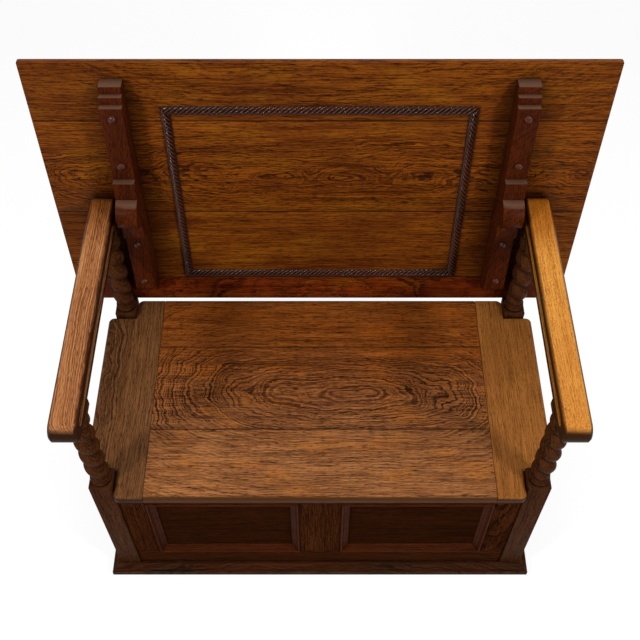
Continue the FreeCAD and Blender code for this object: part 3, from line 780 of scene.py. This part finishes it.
def makePost(name, midX, midY, crestHeight, material):
    step = 2 * math.pi / post["sides"]
    startTurn = -2 * math.pi * (post["twistBottom"] - crestHeight) / post["pitch"]
    startPhase = startTurn % step
    half = post["half"]
    corner = post["cornerRound"]
    rings = [squareRing(height, half - narrower, corner) for height, narrower in postFoot]
    turning = list(postNeck)
    for place in postBeads:
        turning += bead(*place)
    turning.append(postCove)
    for index, (height, radius) in enumerate(turning):
        rings.append(roundRing(height, radius, startPhase * (index + 1) / len(turning)))
    height = post["twistStart"]
    while height < post["twistTop"]:
        phase = -2 * math.pi * (height - post["twistBottom"]) / post["pitch"] + startPhase
        rings.append(roundRing(height, twistRadius(height, crestHeight), phase))
        height += post["rowHeight"]
    endPhase = -2 * math.pi * (post["twistTop"] - post["twistBottom"]) / post["pitch"] + startPhase
    settled = round(endPhase / step)
    for index, (height, radius) in enumerate(postCollar):
        share = (index + 1) / len(postCollar)
        rings.append(roundRing(height, radius, endPhase + (settled * step - endPhase) * share))
    turned = settled % post["sides"]
    for height, narrower in postBlock:
        ring = squareRing(height, half - narrower, corner)
        rings.append(ring[turned:] + ring[:turned])
    rings = [[Vector(point) / 1000 for point in ring] for ring in rings]
    piece = ringMesh(name + "_turned", rings)
    piece.data.materials.append(material)
    piece.location = (midX / 1000, (midY - middleY) / 1000, 0)
    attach(piece, "root")
    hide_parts(name)


postLook = {
    "light": (94, 54, 27),
    "middle": (58, 31, 15),
    "dark": (14, 6, 3),
    "stain": (46, 19, 10),
    "pithAcross": 8.0,
    "pithDepth": 6.0,
    "bow": 90000.0,
    "sway": 8.0,
    "swell": 8.0,
    "wave": 3.0,
    "figure": 0.35,
    "plain": 0.3,
    "streaks": 0.6,
    "gloss": 0.26,
    "shine": 0.008,
    # painted shade in the hollows of the twist and between the beads
    "paintedCornerShade": 0.85,
    "paintedCornerShadeReach": 0.016,
}
postWood = oak("turnedOak", grain="z", **postLook)
for name, (midX, midY, crestHeight) in postPlan.items():
    makePost(name, midX, midY, crestHeight, postWood)
print("posts turned")

# Rope moulding, in millimetres: half-round strips cut into strands, mitred at the corners

rope = {
    "width": 18.0,
    "frameWidth": 586.0,
    "frameHeight": 449.0,
    "bottom": 73.5,              # from the top's lower edge
    "strand": 10.0,              # length of one strand along the strip
    "cut": 4.6,                  # depth of the grooves between strands
    "slant": -0.9,               # how far a strand leans along the strip as it goes round
    "fullness": 0.7,
    "sides": 22,
    "step": 0.7,                 # between two rings of points
}
lean = math.radians(4.88)        # of the upright top, whose face starts at this foot
footY = 468.6 - middleY
footZ = 410.0


# from millimetres along the bench, up the board and out of its face, to metres in the bench's frame
def onBoard(x, s, t):
    y = footY + s * math.sin(lean) - t * math.cos(lean)
    z = footZ + s * math.cos(lean) + t * math.sin(lean)
    return Vector((x, y, z)) / 1000


def makeRope(name, side, material):
    length, other = rope["frameWidth"], rope["frameHeight"]
    if side % 2:
        length, other = other, length
    reach = other / 2
    radius = rope["width"] / 2
    centre = rope["bottom"] + rope["frameHeight"] / 2
    turn = math.pi / 2 * side
    rows = round(length / rope["step"])
    rings = []
    for row in range(rows + 1):
        ring = []
        for k in range(rope["sides"] + 1):
            around = math.pi * k / rope["sides"]
            inset = radius - radius * math.cos(around)
            along = (row / rows * 2 - 1) * (length / 2 - inset)
            strand = (along + rope["slant"] * radius * (around - math.pi / 2)) / rope["strand"]
            bulge = abs(math.sin(math.pi * strand)) ** rope["fullness"]
            out = radius - rope["cut"] * (1 - bulge) * math.sin(around) ** 0.5
            s = -reach + radius - out * math.cos(around)
            t = max(0.0, out * math.sin(around))
            x = along * math.cos(turn) - s * math.sin(turn)
            ring.append(onBoard(x, centre + along * math.sin(turn) + s * math.cos(turn), t))
        rings.append(ring)
    piece = ringMesh(name + "_strands", rings)
    piece.data.materials.append(material)
    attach(piece, "top")
    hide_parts(name)


ropeLook = {
    "light": (76, 40, 24),
    "middle": (40, 19, 12),
    "dark": (8, 3, 2),
    "figure": 0.1,
    "plain": 0.1,
    "streaks": 0.3,
    "gloss": 0.14,
    "shine": 0.2,
    "relief": 0.0001,
    # painted shade in the grooves between the strands
    "paintedCornerShade": 1.0,
    "paintedCornerShadeReach": 0.009,
}
ropeWood = oak("ropeOak", grain="xz", **ropeLook)
for side, place in enumerate(("bottom", "right", "top", "left")):
    makeRope("rope_moulding_" + place, side, ropeWood)
print("rope cut")

# Pegs that hold the bearers, in millimetres: domed heads, slightly different from each other

peg = {
    "radius": 8.5,
    "shank": 5.0,
    "height": 6.0,
    "depth": 48.0,               # thickness of a bearer, on which the heads sit
    "reach": 60.0,               # how far a shank goes in
    "sunk": 0.6,                 # the head's lower edge, in the bearer
    "undercut": 0.97,            # and how much narrower that is
    "smaller": 0.03,             # the heads differ by this much
    "sides": 28,
    "domeSteps": 8,
    "across": 372.0,             # from the middle of the bench
    "middle": 318.0,             # up the board, and the pegs above and below that
    "offsets": (-212, -103, 103, 212),
}


# radii and heights from the end of the shank to near the tip
def pegProfile(size):
    steps = peg["domeSteps"]
    profile = [(peg["shank"], -peg["reach"]), (peg["shank"], -peg["sunk"]),
               (peg["radius"] * size * peg["undercut"], -peg["sunk"])]
    for k in range(steps):
        around = math.pi / 2 * k / steps
        profile.append((peg["radius"] * size * math.cos(around), peg["height"] * size * math.sin(around)))
    return profile


def makePegs(material):
    build = bmesh.new()
    sides = peg["sides"]
    angles = [2 * math.pi * k / sides for k in range(sides)]
    places = [(side * peg["across"], peg["middle"] + offset) for side in (1, -1) for offset in peg["offsets"]]
    for index, (x, s) in enumerate(places):
        size = 1.0 - peg["smaller"] * (index % 3)
        rows = []
        for radius, out in pegProfile(size):
            ring = [onBoard(x + radius * math.cos(angle), s + radius * math.sin(angle), peg["depth"] + out)
                    for angle in angles]
            rows.append([build.verts.new(point) for point in ring])
        for low, high in zip(rows, rows[1:]):
            for k in range(sides):
                after = (k + 1) % sides
                build.faces.new((low[k], low[after], high[after], high[k]))
        build.faces.new(list(reversed(rows[0])))
        tip = build.verts.new(onBoard(x, s, peg["depth"] + peg["height"] * size))
        for k in range(sides):
            build.faces.new((rows[-1][k], rows[-1][(k + 1) % sides], tip))
    bmesh.ops.recalc_face_normals(build, faces=build.faces)
    mesh = bpy.data.meshes.new("domedPegs")
    build.to_mesh(mesh)
    build.free()
    mesh.shade_smooth()
    mesh.set_sharp_from_angle(angle=math.radians(pegSharp))
    piece = bpy.data.objects.new("domed_pegs", mesh)
    bpy.context.scene.collection.objects.link(piece)
    mesh.materials.append(material)
    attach(piece, "top")
    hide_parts("bearer_pegs")


pegLook = {
    "light": (80, 34, 16),
    "middle": (52, 20, 9),
    "dark": (24, 8, 5),
    "figure": 0.1,
    "plain": 0.1,
    "gloss": 0.16,
    "shine": 0.2,
    "relief": 0.0001,
}
makePegs(oak("pegOak", grain="z", **pegLook))
print("pegs made")

# Floor, light and camera

studio = {
    "world": 0.38,
    "floorSize": 14,
    "floorLit": 0.35,            # the floor as it lights the bench
    "floorSeen": 0.3,            # and as it is seen, with its shadow
    "floorGlow": 0.8,
}
lamps = {
    "sideLeft": {"place": (-1.5, -1.4, 2.1), "aim": (0.0, 0.1, 0.5), "size": 0.35, "power": 28.0},
    "sideRight": {"place": (1.5, -1.4, 2.1), "aim": (0.0, 0.1, 0.5), "size": 0.35, "power": 28.0},
    "overhead": {"place": (0.0, 0.7, 2.8), "aim": (0.0, 0.0, 0.5), "size": 1.2, "power": 20.0},
}


def seenRay(tree):
    path = addNode(tree, "ShaderNodeLightPath")
    seen = calc(tree, "MAXIMUM", path.outputs["Is Camera Ray"], path.outputs["Is Glossy Ray"])
    return calc(tree, "MAXIMUM", seen, path.outputs["Is Transmission Ray"])


def makeFloor():
    bpy.ops.mesh.primitive_plane_add(size=studio["floorSize"], location=(0, 0, 0))
    floor = bpy.context.object
    floor.name = "studioFloor"
    material = bpy.data.materials.new("floorPaper")
    material.use_nodes = True
    tree = material.node_tree
    tree.nodes.clear()
    paper = addNode(tree, "ShaderNodeBsdfDiffuse")
    paper.inputs[0].default_value = (studio["floorLit"],) * 3 + (1.0,)
    shown = addNode(tree, "ShaderNodeBsdfDiffuse")
    shown.inputs[0].default_value = (studio["floorSeen"],) * 3 + (1.0,)
    glow = addNode(tree, "ShaderNodeEmission")
    glow.inputs[1].default_value = studio["floorGlow"]
    lifted = addNode(tree, "ShaderNodeAddShader")
    tree.links.new(shown.outputs[0], lifted.inputs[0])
    tree.links.new(glow.outputs[0], lifted.inputs[1])
    choice = addNode(tree, "ShaderNodeMixShader")
    tree.links.new(seenRay(tree), choice.inputs[0])
    tree.links.new(paper.outputs[0], choice.inputs[1])
    tree.links.new(lifted.outputs[0], choice.inputs[2])
    end = addNode(tree, "ShaderNodeOutputMaterial")
    tree.links.new(choice.outputs[0], end.inputs[0])
    floor.data.materials.append(material)


def makeWorld():
    world = bpy.data.worlds.new("studioAir")
    bpy.context.scene.world = world
    world.use_nodes = True
    tree = world.node_tree
    tree.nodes.clear()
    soft = addNode(tree, "ShaderNodeBackground")
    soft.inputs[1].default_value = studio["world"]
    white = addNode(tree, "ShaderNodeBackground")
    white.inputs[1].default_value = 1.0
    choice = addNode(tree, "ShaderNodeMixShader")
    tree.links.new(seenRay(tree), choice.inputs[0])
    tree.links.new(soft.outputs[0], choice.inputs[1])
    tree.links.new(white.outputs[0], choice.inputs[2])
    end = addNode(tree, "ShaderNodeOutputWorld")
    tree.links.new(choice.outputs[0], end.inputs[0])


def makeLamp(name, place, aim, size, power):
    lamp = bpy.data.lights.new(name, "AREA")
    lamp.shape = "SQUARE"
    lamp.size = size
    lamp.energy = power
    holder = bpy.data.objects.new(name, lamp)
    holder.location = place
    holder.rotation_euler = (Vector(aim) - Vector(place)).to_track_quat("-Z", "Y").to_euler()
    bpy.context.scene.collection.objects.link(holder)


makeFloor()
makeWorld()
for name, settings in lamps.items():
    makeLamp(name, **settings)

view = {"place": (0.0, -1.065075, 2.1143), "down": 54.23, "lens": 53.6, "sensor": 36.0}
camera = bpy.data.objects.new("camera", bpy.data.cameras.new("camera"))
camera.data.lens = view["lens"]
camera.data.sensor_width = view["sensor"]
camera.location = view["place"]
camera.rotation_euler = (math.radians(90 - view["down"]), 0, 0)
bpy.context.scene.collection.objects.link(camera)
bpy.context.scene.camera = camera
bpy.context.scene.view_settings.view_transform = "Standard"
print("studio ready")
